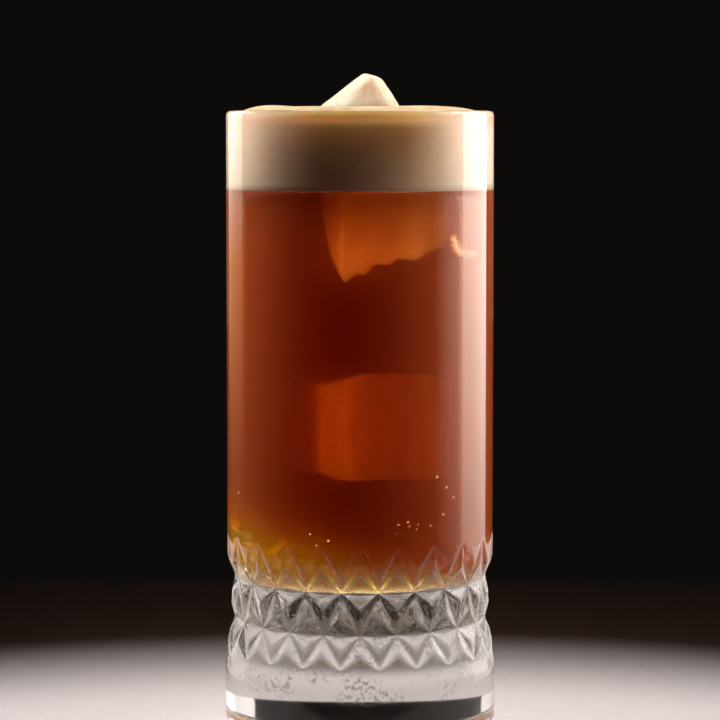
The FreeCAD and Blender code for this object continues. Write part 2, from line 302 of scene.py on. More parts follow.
def new_material(name):
    """A node material that is still empty."""
    material = bpy.data.materials.new(name)
    material.use_nodes = True
    material.node_tree.nodes.clear()
    return material


def add(owner, kind, values, stops=(), **settings):
    """Adds a node to a material or lamp. values fill or link its sockets by name or place, stops
    are the colours along a ramp, its two ends first, and settings are the node's options."""
    node = owner.node_tree.nodes.new(kind)
    for name, value in settings.items():
        setattr(node, name, value)
    for key, value in values.items():
        named = [plug for plug in node.inputs if plug.name == key and plug.enabled]
        socket = named[0] if named else node.inputs[key]
        if isinstance(value, bpy.types.NodeSocket):
            owner.node_tree.links.new(value, socket)
        else:
            socket.default_value = value
    for index, (position, colour) in enumerate(stops):
        along = node.color_ramp.elements
        stop = along[index] if index < 2 else along.new(position)
        stop.position = position
        stop.color = colour
    return node


def let_lamps_through(material, shader, tint):
    """Clear things cast no hard shadow: lamps reach what is behind them, a little tinted."""
    path = add(material, "ShaderNodeLightPath", {})
    clear = add(material, "ShaderNodeBsdfTransparent", {"Color": linear(tint)})
    mixed = add(material, "ShaderNodeMixShader", {
        0: path.outputs["Is Shadow Ray"], 1: shader.outputs[0], 2: clear.outputs[0]})
    return mixed.outputs[0]


def mist_on_base(material, place, height):
    """How misted the cold base is: dull grains about 1 mm wide, in patches about 9 mm wide, above
    the foot and below the tips of the cuts."""
    patches = add(material, "ShaderNodeTexNoise", {
        "Vector": place, "Scale": 1 / (9 * MM), "Detail": 2.0})
    patch = add(material, "ShaderNodeMapRange", {
        "Value": patches.outputs["Fac"], "From Min": 0.42, "From Max": 0.53})
    grains = add(material, "ShaderNodeTexNoise", {
        "Vector": place, "Scale": 1 / (1.1 * MM), "Detail": 4.0})
    grain = add(material, "ShaderNodeMapRange", {
        "Value": grains.outputs["Fac"], "From Min": 0.47, "From Max": 0.62, "To Max": 0.85})
    below_tips = add(material, "ShaderNodeMapRange", {
        "Value": height, "From Min": UPPER_RING + 6 * MM, "From Max": UPPER_RING})
    above_foot = add(material, "ShaderNodeMapRange", {
        "Value": height, "From Min": 9 * MM, "From Max": 12 * MM})
    mist = patch.outputs["Result"]
    for part in (grain, below_tips, above_foot):
        product = add(material, "ShaderNodeMath", {0: mist, 1: part.outputs["Result"]},
                      operation="MULTIPLY")
        mist = product.outputs[0]
    return mist


def clear_glass():
    """Soda-lime glass, IOR 1.52, pressed and fire polished: sharp reflections on the wall, softer
    ones in the pressed base, and a faint grey bloom on worn creases and under the mist."""
    material = new_material("soda_lime_glass_fire_polished")
    place = add(material, "ShaderNodeNewGeometry", {}).outputs["Position"]
    height = add(material, "ShaderNodeSeparateXYZ", {"Vector": place}).outputs["Z"]
    worn = add(material, "ShaderNodeAttribute", {}, attribute_name="worn")
    dull = add(material, "ShaderNodeMath", {
        0: mist_on_base(material, place, height), 1: worn.outputs["Fac"]}, operation="MAXIMUM")
    pressed = add(material, "ShaderNodeMapRange", {
        "Value": height, "From Min": UPPER_RING, "From Max": UPPER_RING + 8 * MM,
        "To Min": 0.09, "To Max": 0.0})
    off_foot = add(material, "ShaderNodeMapRange", {
        "Value": height, "From Min": 3 * MM, "From Max": 6 * MM, "To Min": 0.25, "To Max": 1.0})
    base_soft = add(material, "ShaderNodeMath", {
        0: pressed.outputs["Result"], 1: off_foot.outputs["Result"]}, operation="MULTIPLY")
    soft = add(material, "ShaderNodeMath", {
        0: dull.outputs[0], 1: 0.3, 2: base_soft.outputs[0]}, operation="MULTIPLY_ADD")
    clear = add(material, "ShaderNodeMapRange", {
        "Value": dull.outputs[0], "To Min": 1.0, "To Max": 0.55})
    shader = add(material, "ShaderNodeBsdfPrincipled", {
        "Base Color": linear("#FCFDFC"), "Roughness": soft.outputs[0], "IOR": 1.52,
        "Transmission Weight": clear.outputs["Result"]})
    add(material, "ShaderNodeOutputMaterial", {
        "Surface": let_lamps_through(material, shader, "#FFFFFF")})
    return material


glass = build_glass()
glass.data.materials.append(clear_glass())
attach(glass, "root")
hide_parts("glass")

# ---------------------------------------------------------------------------------------------
# The ice
# Four pieces of cracked ice, broken flat, with edges that the drink has melted round. A long
# clear chunk stands up through the foam, which coats its tip, with a clear shard in front of
# it. A clear cube is wholly sunk below the two. A white chip against the right wall is a
# painted highlight: it stands in for the glint of total reflection in a crack.
# ---------------------------------------------------------------------------------------------

FOAM_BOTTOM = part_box("foam")[0].z


def bake_modifiers(piece):
    """Leaves a piece with the mesh that its modifiers make."""
    graph = bpy.context.evaluated_depsgraph_get()
    mesh = bpy.data.meshes.new_from_object(piece.evaluated_get(graph))
    piece.modifiers.clear()
    old = piece.data
    piece.data = mesh
    bpy.data.meshes.remove(old)


def melted(piece, edge, ripple):
    """Rounds the edges of a broken block and ripples its faces."""
    bevel = piece.modifiers.new("melted_edges", "BEVEL")
    bevel.width = edge
    bevel.segments = 3
    bevel.limit_method = "ANGLE"
    bevel.angle_limit = math.radians(12)
    remesh = piece.modifiers.new("even_skin", "REMESH")
    remesh.mode = "VOXEL"
    remesh.voxel_size = 0.55 * MM
    texture = bpy.data.textures.new(piece.name + "_ripple", "CLOUDS")
    texture.noise_scale = 6 * MM
    texture.noise_depth = 2
    wave = piece.modifiers.new("rippled_faces", "DISPLACE")
    wave.texture = texture
    wave.texture_coords = "GLOBAL"
    wave.strength = ripple
    wave.mid_level = 0.5
    smooth = piece.modifiers.new("melted_skin", "SMOOTH")
    smooth.iterations = 3
    bpy.context.view_layer.update()
    bake_modifiers(piece)
    shade_smooth(piece.data)


def copied_block(node, name):
    """A new piece with a CAD node's mesh, its flat faces whole again."""
    work = bmesh.new()
    work.from_mesh(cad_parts[node].data)
    bmesh.ops.remove_doubles(work, verts=work.verts, dist=1e-6)
    bmesh.ops.dissolve_limit(work, angle_limit=math.radians(1), verts=work.verts,
                             edges=work.edges)
    mesh = bpy.data.meshes.new(name)
    work.to_mesh(mesh)
    work.free()
    return in_scene(name, mesh)


def ice_prism(name, outline, front, back, cuts=(), turn_degrees=0.0, middle=(0, 0)):
    """Ice broken to an outline between two depths, with faces split off it where it was cut. All
    is in millimetres, and heights are from the bottom of the foam."""
    count = len(outline)
    points = [(x, front, z) for x, z in outline] + [(0.92 * x, back, z) for x, z in outline]
    faces = [tuple(range(count)), tuple(range(2 * count - 1, count - 1, -1))]
    faces += [(i, (i + 1) % count, (i + 1) % count + count, i + count) for i in range(count)]
    piece = mesh_piece(name, points, faces)
    work = bmesh.new()
    work.from_mesh(piece.data)
    for place, direction in cuts:
        geometry = work.verts[:] + work.edges[:] + work.faces[:]
        cut = bmesh.ops.bisect_plane(work, geom=geometry, plane_co=place, plane_no=direction,
                                     clear_outer=True)
        edges = [item for item in cut["geom_cut"] if isinstance(item, bmesh.types.BMEdge)]
        bmesh.ops.contextual_create(work, geom=edges)
    turn = math.radians(turn_degrees)
    for vert in work.verts:
        x, y, z = vert.co
        vert.co = ((middle[0] + x * math.cos(turn) - y * math.sin(turn)) * MM,
                   (middle[1] + x * math.sin(turn) + y * math.cos(turn)) * MM,
                   FOAM_BOTTOM + z * MM)
    bmesh.ops.recalc_face_normals(work, faces=work.faces)
    work.to_mesh(piece.data)
    work.free()
    return piece


def cloudy_ice(name, haze_density, clearness=0.6, body="#E6D2B8", glow_depth=5 * MM,
               turns_at=FOAM_BOTTOM, turns_over=4 * MM, turns_to=0.0):
    """Wet ice, IOR 1.31, with fine air frozen in as streaks: it glows a little paler than what is
    round it. From turns_at up it turns from its clearness to turns_to, 0 white and 1 clear."""
    material = new_material(name)
    place = add(material, "ShaderNodeNewGeometry", {}).outputs["Position"]
    height = add(material, "ShaderNodeSeparateXYZ", {"Vector": place}).outputs["Z"]
    clear = add(material, "ShaderNodeMapRange", {
        "Value": height, "From Min": turns_at, "From Max": turns_at + turns_over,
        "To Min": clearness, "To Max": turns_to})
    stretched = add(material, "ShaderNodeVectorMath", {0: place, 1: (1.0, 1.0, 0.25)},
                    operation="MULTIPLY")
    streaks = add(material, "ShaderNodeTexNoise", {
        "Vector": stretched.outputs["Vector"], "Scale": 1 / (1.6 * MM), "Detail": 4.0})
    streaked = add(material, "ShaderNodeValToRGB", {"Fac": streaks.outputs["Fac"]},
                   stops=((0.3, linear(body)), (0.66, linear("#FBF3E8"))))
    shader = add(material, "ShaderNodeBsdfPrincipled", {
        "Base Color": streaked.outputs["Color"], "Roughness": 0.18, "IOR": 1.31,
        "Subsurface Weight": 1.0, "Subsurface Radius": (1.0, 0.7, 0.45),
        "Subsurface Scale": glow_depth, "Transmission Weight": clear.outputs["Result"]})
    haze = add(material, "ShaderNodeVolumeScatter", {
        "Color": linear("#FFFFFF"), "Density": haze_density})
    add(material, "ShaderNodeOutputMaterial", {
        "Surface": let_lamps_through(material, shader, "#F4F4F4"), "Volume": haze.outputs[0]})
    return material


ice_chunk = copied_block("ice_chunk", "ice_chunk_skin")
melted(ice_chunk, edge=0.9 * MM, ripple=0.5 * MM)
ice_chunk.data.materials.append(cloudy_ice("wet_ice_foam_coated", haze_density=60.0))
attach(ice_chunk, "root")
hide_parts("ice_chunk")

SHARD_OUTLINE = ((-9.4, 0.2), (-7.6, -8.0), (-6.6, -15.0), (-3.4, -21.8), (-0.6, -19.2),
                 (1.0, -20.0), (3.2, -17.1), (6.6, -17.5), (8.6, -15.8), (12.0, -16.4),
                 (15.5, -14.4), (18.6, -13.6), (20.6, -9.0), (20.4, 0.2))
SHARD_CUTS = (((-4.0, -24.6, -20.0), (-0.75, -0.66, 0.0)),
              ((14.0, -24.6, -20.0), (0.6, -0.8, 0.0)))
ice_shard = ice_prism("ice_shard", SHARD_OUTLINE, front=-24.6, back=-9.0, cuts=SHARD_CUTS)
melted(ice_shard, edge=0.5 * MM, ripple=0.5 * MM)
ice_shard.data.materials.append(cloudy_ice(
    "wet_ice_shard", haze_density=100.0, turns_at=FOAM_BOTTOM - 15 * MM, turns_over=13 * MM,
    turns_to=1.0))
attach(ice_shard, "root")

CUBE_OUTLINE = ((-17.0, -66.5), (-13.6, -68.4), (10.4, -68.8), (12.0, -66.6), (12.0, -44.8),
                (10.0, -43.4), (-8.0, -43.0), (-17.0, -46.0))
CUBE_CUTS = (((-11.0, -12.0, -60.0), (-0.62, -0.78, 0.0)),
             ((12.0, -8.0, -60.0), (0.8, -0.6, 0.1)))
sunk_ice = ice_prism("sunk_ice", CUBE_OUTLINE, front=-12.0, back=12.0, cuts=CUBE_CUTS,
                     turn_degrees=15, middle=(5.5, -7.5))
melted(sunk_ice, edge=1.0 * MM, ripple=0.6 * MM)
sunk_ice.data.materials.append(cloudy_ice("wet_ice", haze_density=160.0))
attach(sunk_ice, "root")

# The chip is a painted highlight: white ice where a crack shows only a glint.
CHIP_OUTLINE = ((-4.4, -11.4), (-3.6, -12.1), (-3.9, -13.0), (-3.1, -13.5), (-3.2, -14.3),
                (-2.2, -14.7), (-1.8, -15.6), (-0.6, -15.4), (0.4, -16.2), (1.5, -15.7),
                (2.9, -16.0), (3.4, -15.2), (4.9, -15.0), (4.2, -14.3), (2.9, -14.6),
                (2.0, -14.0), (1.0, -14.5), (0.1, -13.9), (-0.9, -14.0), (-1.3, -13.0),
                (-2.2, -12.7), (-2.3, -11.6), (-3.2, -11.4), (-3.5, -10.2))
painted_glint_chip = ice_prism("painted_glint_chip", CHIP_OUTLINE, front=-1.25, back=1.0, turn_degrees=52.8,
                     middle=(23.1, -17.5))
# White body, dense haze and nearly no clearness: the painted highlight's white.
painted_glint_chip.data.materials.append(cloudy_ice("white_ice_painted_glint", haze_density=3000.0, clearness=0.05,
                                          body="#FFFFFF", glow_depth=1 * MM))
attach(painted_glint_chip, "root")

# ---------------------------------------------------------------------------------------------
# The drink
# Coffee and tonic, red-brown and faintly cloudy, over a golden vanilla liqueur that is heavier
# and lies on the floor of the glass. The two run into each other with no edge between them.
# ---------------------------------------------------------------------------------------------

INTO_WALL = 0.2 * MM
INTO_FOAM = 0.1 * MM
INTO_ICE = 0.15 * MM
FILL_COLUMNS = 240
ABSORBING_DENSITY = 250.0


def build_drink():
    """The whole filling up to the foam, which reaches just into the wall so that no gap shows."""
    radius = INNER_RADIUS + INTO_WALL
    floor_round = FLOOR_ROUND + INTO_WALL
    bottom = FLOOR_HEIGHT - INTO_WALL
    top = FOAM_BOTTOM + INTO_FOAM
    profile = [(radius * s, bottom) for s in (0.1, 0.3, 0.5)]
    profile += bend((radius - floor_round, bottom + floor_round), floor_round, -90, 0, 16)
    profile += run((radius, FLOOR_HEIGHT + FLOOR_ROUND), (radius, top), 40) + [(radius, top)]
    profile += [(radius * s, top) for s in (0.8, 0.5, 0.2)]
    return mesh_piece("drink", *skin(turned(profile, FILL_COLUMNS)))


def hollow_out(piece, *blocks):
    """Takes the ice's place out of the drink, a hair small so that the two meet with no gap."""
    for block in blocks:
        core = in_scene("core", block.data.copy())
        shrink = core.modifiers.new("shrink", "DISPLACE")
        shrink.strength = -INTO_ICE
        shrink.mid_level = 0.0
        cut = piece.modifiers.new("room_for_ice", "BOOLEAN")
        cut.object = core
        cut.operation = "DIFFERENCE"
        cut.solver = "EXACT"
        bpy.context.view_layer.update()
        bake_modifiers(piece)
        bpy.data.objects.remove(core)


def layer_level(material, place, split):
    """0 in the liqueur and 1 in the coffee. The border is 10 mm deep, leans down to the right and
    is uneven by a few millimetres."""
    leaning = add(material, "ShaderNodeMath", {
        0: split.outputs["X"], 1: 0.33, 2: split.outputs["Z"]}, operation="MULTIPLY_ADD")
    swirl = add(material, "ShaderNodeTexNoise", {
        "Vector": place, "Scale": 1 / (14 * MM), "Detail": 1.0})
    wavy = add(material, "ShaderNodeMath", {
        0: swirl.outputs["Fac"], 1: 6 * MM, 2: leaning.outputs[0]}, operation="MULTIPLY_ADD")
    level = add(material, "ShaderNodeMapRange", {
        "Value": wavy.outputs[0], "From Min": FLOOR_HEIGHT + 6.5 * MM,
        "From Max": FLOOR_HEIGHT + 17 * MM})
    return level.outputs["Result"]


def liquid_skin(material, place, level):
    """Clear liquid, IOR 1.34, stained out near the wall and colourless further in."""
    outer = add(material, "ShaderNodeVectorMath", {0: place, 1: (1, 1, 0)}, operation="MULTIPLY")
    away = add(material, "ShaderNodeVectorMath", {0: outer.outputs["Vector"]}, operation="LENGTH")
    at_wall = add(material, "ShaderNodeMath", {
        0: away.outputs["Value"], 1: INNER_RADIUS - FLOOR_ROUND}, operation="GREATER_THAN")
    banded_colour = add(material, "ShaderNodeValToRGB", {"Fac": level},
                stops=((0.0, linear("#FFE0A0")), (1.0, linear("#E2A070"))))
    tint = add(material, "ShaderNodeMix", {
        "Factor": at_wall.outputs[0], "A": linear("#FFFFFF"), "B": banded_colour.outputs["Color"]},
        data_type="RGBA")
    return add(material, "ShaderNodeBsdfPrincipled", {
        "Base Color": tint.outputs[2], "Roughness": 0.0, "IOR": 1.34,
        "Transmission Weight": 1.0})


def taking_up(red, green, blue):
    """The volume colour that takes up so much red, green and blue light in each metre."""
    return (*[1 - share / ABSORBING_DENSITY for share in (red, green, blue)], 1.0)


def liquid_depth(material, height, level):
    """Golden liqueur, darker in its lowest few millimetres, under coffee that is browner and
    cloudier.
    """
    layers = add(material, "ShaderNodeValToRGB", {"Fac": level},
                 stops=((0.0, taking_up(2.5, 16.25, 200.0)), (1.0, taking_up(23.75, 107.5, 242.5))))
    # Takes up more light from 5.5 mm above the floor down to 1.5 mm above it.
    near_floor = add(material, "ShaderNodeMapRange", {
        "Value": height, "From Min": FLOOR_HEIGHT + 5.5 * MM, "From Max": FLOOR_HEIGHT + 1.5 * MM})
    darker_near_floor = add(material, "ShaderNodeMix", {
        "Factor": near_floor.outputs["Result"], "A": layers.outputs["Color"],
        "B": taking_up(32.5, 55.0, 235.0)}, data_type="RGBA")
    absorb = add(material, "ShaderNodeVolumeAbsorption", {
        "Color": darker_near_floor.outputs[2], "Density": ABSORBING_DENSITY})
    cloud = add(material, "ShaderNodeMapRange", {"Value": level, "To Min": 16.0, "To Max": 80.0})
    cloudy = add(material, "ShaderNodeVolumeScatter", {
        "Color": linear("#FFFFFF"), "Density": cloud.outputs["Result"], "Anisotropy": 0.3})
    return add(material, "ShaderNodeAddShader", {0: absorb.outputs[0], 1: cloudy.outputs[0]})


def layered_drink():
    """Strained coffee and tonic over liqueur: bright clear gold below, a dim red-brown above that
    light goes through for a few centimetres."""
    material = new_material("coffee_tonic_over_liqueur")
    place = add(material, "ShaderNodeNewGeometry", {}).outputs["Position"]
    split = add(material, "ShaderNodeSeparateXYZ", {"Vector": place})
    level = layer_level(material, place, split)
    shader = liquid_skin(material, place, level)
    depth = liquid_depth(material, split.outputs["Z"], level)
    add(material, "ShaderNodeOutputMaterial", {
        "Surface": let_lamps_through(material, shader, "#FFFFFF"), "Volume": depth.outputs[0]})
    return material


drink = build_drink()
hollow_out(drink, ice_chunk, ice_shard, sunk_ice, painted_glint_chip)
drink.data.materials.append(layered_drink())
shade_smooth(drink.data)
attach(drink, "root")
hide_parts("coffee_tonic", "golden_layer")

# ---------------------------------------------------------------------------------------------
# The bubbles
# Tonic bubbles of a quarter to two thirds of a millimetre that cling to the inside of the wall.
# They are gas held by the drink's own skin, and sit low down, mostly right of the middle.
# ---------------------------------------------------------------------------------------------

# Each group's middle across and above the floor, its spread both ways, and how many it has.
BUBBLE_GROUPS = ((12.0, 16.0, 6.0, 3.0, 8), (19.0, 21.0, 5.0, 5.0, 4), (-28.0, 21.0, 1.2, 9.0, 5),
                 (24.0, 11.0, 5.0, 4.0, 4), (-12.0, 12.0, 12.0, 4.0, 3))
BUBBLE_RADII = (0.12, 0.15, 0.2, 0.25, 0.32)
LOWEST_BUBBLE = 9.0
WIDEST_BUBBLE = 29.4


def build_bubbles():
    """Little balls just inside the wall, scattered round the middle of each group."""
    rng = random.Random(23)
    work = bmesh.new()
    for middle_x, middle_z, spread_x, spread_z, count in BUBBLE_GROUPS:
        for _ in range(count):
            size = rng.choice(BUBBLE_RADII) * MM
            across = rng.gauss(middle_x, spread_x / 2)
            x = max(-WIDEST_BUBBLE, min(WIDEST_BUBBLE, across)) * MM
            z = FLOOR_HEIGHT + max(LOWEST_BUBBLE, rng.gauss(middle_z, spread_z / 2)) * MM
            y = -math.sqrt((INNER_RADIUS - size - 0.1 * MM) ** 2 - x * x)
            ball = bmesh.ops.create_icosphere(work, subdivisions=2, radius=size)
            bmesh.ops.translate(work, verts=ball["verts"], vec=(x, y, z))
    mesh = bpy.data.meshes.new("bubbles")
    work.to_mesh(mesh)
    work.free()
    shade_smooth(mesh)
    return in_scene("bubbles", mesh)


def gas_skin():
    """The skin of a gas bubble in the drink: a pale rim, and a quarter of it matt off-white, a
    painted highlight that makes each bead show bright.
    """
    material = new_material("gas_bubble_skin")
    # Off-white on the quarter that is not clear: painted highlight.
    shader = add(material, "ShaderNodeBsdfPrincipled", {
        "Base Color": linear("#FFF4E6"), "Roughness": 0.02, "IOR": 1.34,
        "Transmission Weight": 0.75})
    add(material, "ShaderNodeOutputMaterial", {
        "Surface": let_lamps_through(material, shader, "#FFFFFF")})
    return material


bubbles = build_bubbles()
bubbles.data.materials.append(gas_skin())
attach(bubbles, "root")

# ---------------------------------------------------------------------------------------------
# The foam
# Dense coffee foam, shaken with the drink: a fine, moist, cream-coloured froth that holds its
# shape. It fills the top of the glass, swells a little over the lip and clings to the ice.
# ---------------------------------------------------------------------------------------------

# Each swelling's middle across and back, its height and its spread, in millimetres.
FOAM_SWELLINGS = (
    (-24.0, 1.0, 0.55, 7.0),
    (-11.0, -4.0, -0.35, 7.0),
    (15.0, 4.0, 0.25, 8.0),
    (3.0, -19.0, -0.3, 9.0),
    (-3.0, 20.0, 0.35, 9.0),
)
FOAM_CROWN = 1.1


def foam_height(x, y):
    """Height of the foam's top: crowned over the rim, rolled down to the lip at its edge."""
    edge = (math.hypot(x, y) / INNER_RADIUS) ** 8
    rise = FOAM_CROWN * (1 - edge) - edge * WALL / MM / 2
    for middle_x, middle_y, height, spread in FOAM_SWELLINGS:
        away = ((x / MM - middle_x) ** 2 + (y / MM - middle_y) ** 2) / spread ** 2
        rise += height * math.exp(-away) * (1 - edge)
    return GLASS_HEIGHT + rise * MM


def build_foam():
    """A plug of foam: flat below, reaching just into the wall, with the uneven crown on top."""
    radius = INNER_RADIUS + INTO_WALL
    side = [(INNER_RADIUS * s, FOAM_BOTTOM) for s in (0.1, 0.5, 0.9)]
    side += [(radius, FOAM_BOTTOM)]
    side += run((radius, FOAM_BOTTOM), (radius, GLASS_HEIGHT - WALL / 2), 12)
    rings = turned(side, FILL_COLUMNS)
    for share in np.append(np.linspace(1, 0.8, 12), np.linspace(0.78, 0.03, 26)):
        level = ring(INNER_RADIUS * share, 0, FILL_COLUMNS)
        level[:, 2] = [foam_height(x, y) for x, y, _ in level]
        rings.append(level)
    return mesh_piece("coffee_foam", *skin(rings))


def cream_with_painted_middle(material, split, mottle):
    """Pale cream. Across the middle, which the side lamps light least, painted shade darkens it
    in level bands and a painted glow of the lamp above yellows it at the brim.
    """
    cream = add(material, "ShaderNodeValToRGB", {"Fac": mottle.outputs["Fac"]},
                stops=((0.0, linear("#E6D2BC")), (1.0, linear("#EFDECC"))))
    # Painted shade and glow by height: tan, then brown high up, golden yellow at the brim.
    height = add(material, "ShaderNodeMapRange", {
        "Value": split.outputs["Z"], "From Min": FOAM_BOTTOM, "From Max": GLASS_HEIGHT})
    banded_colour = add(material, "ShaderNodeValToRGB", {"Fac": height.outputs["Result"]},
                stops=((0.0, linear("#E2CAB0")), (0.87, linear("#F8E69C")),
                       (0.35, linear("#DCB692")), (0.66, linear("#C49262")),
                       (0.78, linear("#C4925A"))))
    # Only across the middle, less lit by the side lamps: full within 8 mm, gone at 25 mm.
    aside = add(material, "ShaderNodeMath", {0: split.outputs["X"]}, operation="ABSOLUTE")
    middle = add(material, "ShaderNodeMapRange", {
        "Value": aside.outputs[0], "From Min": 25 * MM, "From Max": 8 * MM},
        interpolation_type="SMOOTHSTEP")
    return add(material, "ShaderNodeMix", {
        "Factor": middle.outputs["Result"], "A": cream.outputs["Color"],
        "B": banded_colour.outputs["Color"]}, data_type="RGBA")


def brown_top_and_painted_shade(material, normal, mottle, side):
    """The same colour, turned light brown where the foam faces up: crema, and painted shade that
    holds down the glare of the lamp above.
    """
    # Light brown facing up: crema, and painted shade against the lamp above.
    crema_and_top_shade = add(material, "ShaderNodeValToRGB", {"Fac": mottle.outputs["Fac"]},
                stops=((0.35, linear("#D9B98A")), (0.65, linear("#EDD8B4"))))
    facing = add(material, "ShaderNodeSeparateXYZ", {"Vector": normal})
    upward = add(material, "ShaderNodeMapRange", {
        "Value": facing.outputs["Z"], "From Min": 0.75, "From Max": 0.97})
    return add(material, "ShaderNodeMix", {
        "Factor": upward.outputs["Result"], "A": side.outputs[2], "B": crema_and_top_shade.outputs["Color"]},
        data_type="RGBA")


def dense_foam():
    """Fine wet froth, IOR 1.34: light sinks in and warms, so it glows softly. Its pores are about
    half a millimetre apart, with painted shade in their hollows, and mottling is about 5 mm wide."""
    material = new_material("coffee_foam_dense_moist")
    geometry = add(material, "ShaderNodeNewGeometry", {})
    place = geometry.outputs["Position"]
    split = add(material, "ShaderNodeSeparateXYZ", {"Vector": place})
    mottle = add(material, "ShaderNodeTexNoise", {
        "Vector": place, "Scale": 1 / (5 * MM), "Detail": 4.0})
    # Cream with painted shade and glow across the middle, then crema and painted shade on top.
    side = cream_with_painted_middle(material, split, mottle)
    with_painted_top_shade = brown_top_and_painted_shade(material, geometry.outputs["Normal"], mottle, side)
    pores = add(material, "ShaderNodeTexVoronoi", {"Vector": place, "Scale": 1 / (0.55 * MM)})
    # Painted shade in the pore hollows: colour down to 0.8 near each pore's middle.
    hollow = add(material, "ShaderNodeMapRange", {
        "Value": pores.outputs["Distance"], "From Min": 0.08, "From Max": 0.3,
        "To Min": 0.8, "To Max": 1.0})
    with_painted_pore_shade = add(material, "ShaderNodeMix", {
        "Factor": 1.0, "A": with_painted_top_shade.outputs[2], "B": hollow.outputs["Result"]},
        data_type="RGBA", blend_type="MULTIPLY")
    bump = add(material, "ShaderNodeBump", {
        "Height": pores.outputs["Distance"], "Strength": 0.25, "Distance": 0.1 * MM})
    shader = add(material, "ShaderNodeBsdfPrincipled", {
        "Base Color": with_painted_pore_shade.outputs[2], "Roughness": 0.45, "IOR": 1.34,
        "Subsurface Weight": 1.0, "Subsurface Radius": (1.0, 0.21, 0.08),
        "Subsurface Scale": 7.5 * MM, "Normal": bump.outputs["Normal"]})
    add(material, "ShaderNodeOutputMaterial", {"Surface": shader.outputs[0]})
    return material


foam = build_foam()
foam.data.materials.append(dense_foam())
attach(foam, "root")
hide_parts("foam")

# ---------------------------------------------------------------------------------------------
# The floor
# A plain pale table top, matt, with a fine speckle. Its front edge is 60 mm from the glass's
# axis. Away from the pool of light round the foot it is dark, which the cut base shows.
# ---------------------------------------------------------------------------------------------

FLOOR_CORNERS = ((-245, -60), (245, -60), (245, 216), (-245, 216))
UNDER_FOOT = 0.1 * MM


def matt_table():
    """Matt lacquered board: a pale warm grey with specks about 3 mm wide."""
    material = new_material("pale_table")
    place = add(material, "ShaderNodeNewGeometry", {}).outputs["Position"]
    grain = add(material, "ShaderNodeTexNoise", {
        "Vector": place, "Scale": 1 / (3 * MM), "Detail": 4.0})
    speckle = add(material, "ShaderNodeValToRGB", {"Fac": grain.outputs["Fac"]},
                  stops=((0.0, linear("#C0BABA")), (1.0, linear("#D0CACA"))))
    shader = add(material, "ShaderNodeBsdfPrincipled", {
        "Base Color": speckle.outputs["Color"], "Roughness": 0.6})
    add(material, "ShaderNodeOutputMaterial", {"Surface": shader.outputs[0]})
    return material


floor = mesh_piece("floor", [(x * MM, y * MM, -UNDER_FOOT) for x, y in FLOOR_CORNERS],
                   [(0, 1, 2, 3)])
floor.data.materials.append(matt_table())

# ---------------------------------------------------------------------------------------------
# The lights
# Tall strip boxes at both sides, a box above, and a card, a panel and two low cards behind the
# glass. Snooted lamps light the table and the ice. The card alone lights everything, and the
# room is dark.
# ---------------------------------------------------------------------------------------------


def lit_together(name, *pieces):
    """Pieces that a lamp lights while it leaves the rest dark."""
    group = bpy.data.collections.new(name)
    for piece in pieces:
        group.objects.link(piece)
    return group


def aimed(name, data, middle, aim):
    """A lamp or a camera in the scene, turned towards a place."""
    thing = in_scene(name, data)
    thing.location = middle
    thing.rotation_euler = (Vector(aim) - Vector(middle)).to_track_quat("-Z", "Y").to_euler()
    return thing


def soft_box(name, middle, aim, width, height, glow, tint, lights_only=None):
    """A soft box: glow is how bright its face is, against a white floor of 1."""
    lamp = bpy.data.lights.new(name, "AREA")
    lamp.shape = "RECTANGLE"
    lamp.size = width
    lamp.size_y = height
    lamp.energy = glow * math.pi * width * height
    lamp.color = linear(tint)[:3]
    light = aimed(name, lamp, middle, aim)
    light.visible_camera = False
    light.light_linking.receiver_collection = lights_only
    return light


def snooted_light(name, middle, aim, spread_degrees, power, tint, lights_only, edge=0.6,
                  stretch=1.0):
    """A lamp in a snoot: a beam with a soft edge, round or stretched sideways."""
    lamp = bpy.data.lights.new(name, "SPOT")
    lamp.energy = power
    lamp.color = linear(tint)[:3]
    lamp.spot_size = math.radians(spread_degrees)
    lamp.spot_blend = edge
    lamp.shadow_soft_size = 15 * MM
    light = aimed(name, lamp, middle, aim)
    light.scale = (stretch, 1.0, 1.0)
    light.visible_glossy = False
    light.light_linking.receiver_collection = lights_only
    return light


ice_pieces = lit_together("ice_pieces", ice_chunk, ice_shard, sunk_ice, painted_glint_chip, bubbles)
served = lit_together("served", glass, ice_chunk, ice_shard, sunk_ice, painted_glint_chip, drink, bubbles,
                      foam)
glass_only = lit_together("glass_only", glass)
table_only = lit_together("table_only", floor)

LEFT, RIGHT = -1, 1
STRIP_HEIGHT = 250 * MM
STRIP_DISTANCE = 150 * MM
TINTED_BELOW = 105 * MM
WHITE_ABOVE = 135 * MM


